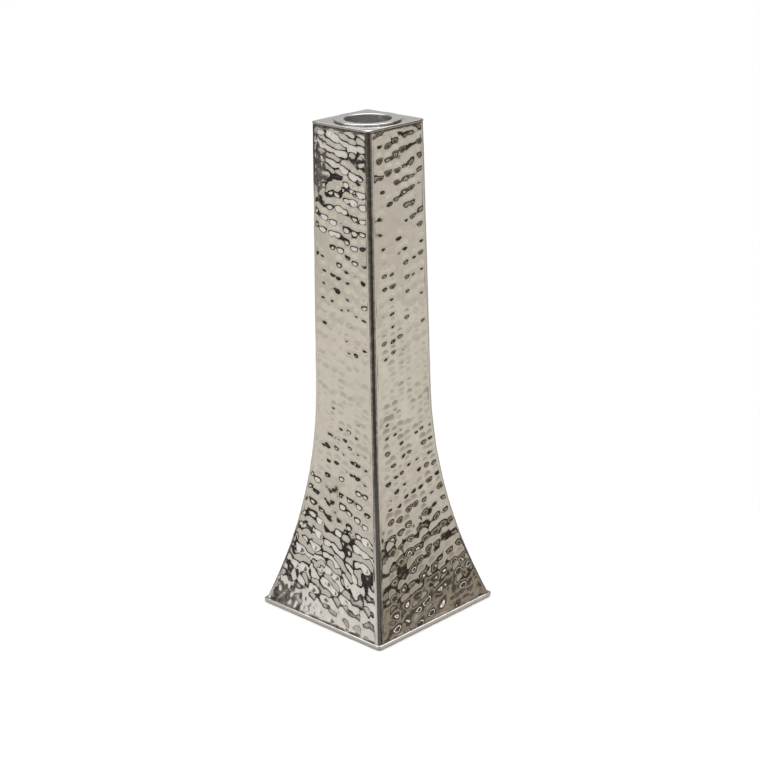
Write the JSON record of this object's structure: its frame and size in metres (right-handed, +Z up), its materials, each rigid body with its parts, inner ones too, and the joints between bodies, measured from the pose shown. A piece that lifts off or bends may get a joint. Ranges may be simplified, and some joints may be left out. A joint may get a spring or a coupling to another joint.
{
  "type": "candlestick",
  "caption": "Square hammered-metal candlestick with a straight shaft, a flared foot, a polished top plate and a round candle cup that lifts out.",
  "frame": {"origin": "centre of the felt pad's underside, which is the plane the candlestick stands on", "axes": "+Z up along the shaft, +X towards the right panel, -Y towards the front panel"},
  "size_m": [0.0846, 0.0846, 0.254],
  "materials": {
    "hammered_nickel": "nickel-plated sheet, hammered in rows of shallow dents and polished",
    "polished_nickel": "smooth polished nickel plate",
    "plain_steel": "plain rolled steel sheet",
    "zinc_screw": "bright zinc plate",
    "felt": "pressed wool felt"
  },
  "bodies": {
    "holder": {"front_panel": "hammered_nickel", "right_panel": "hammered_nickel", "back_panel": "hammered_nickel", "left_panel": "hammered_nickel", "front_right_corner_strip": "polished_nickel", "back_right_corner_strip": "polished_nickel", "back_left_corner_strip": "polished_nickel", "front_left_corner_strip": "polished_nickel", "front_right_tab": "plain_steel", "back_right_tab": "plain_steel", "back_left_tab": "plain_steel", "front_left_tab": "plain_steel", "front_right_screw": "zinc_screw", "back_right_screw": "zinc_screw", "back_left_screw": "zinc_screw", "front_left_screw": "zinc_screw", "foot_rim": "polished_nickel", "top_plate": "polished_nickel", "cup_guide_collar": "plain_steel", "base_plate": "plain_steel", "felt_pad": "felt"},
    "cup": {"candle_cup": "polished_nickel", "cup_floor": "polished_nickel"}
  },
  "joints": [
    {"name": "cup_lift", "type": "slide", "parent": "holder", "child": "cup", "axis": [0, 0, 1], "range_m": [0, 0.035]}
  ]
}
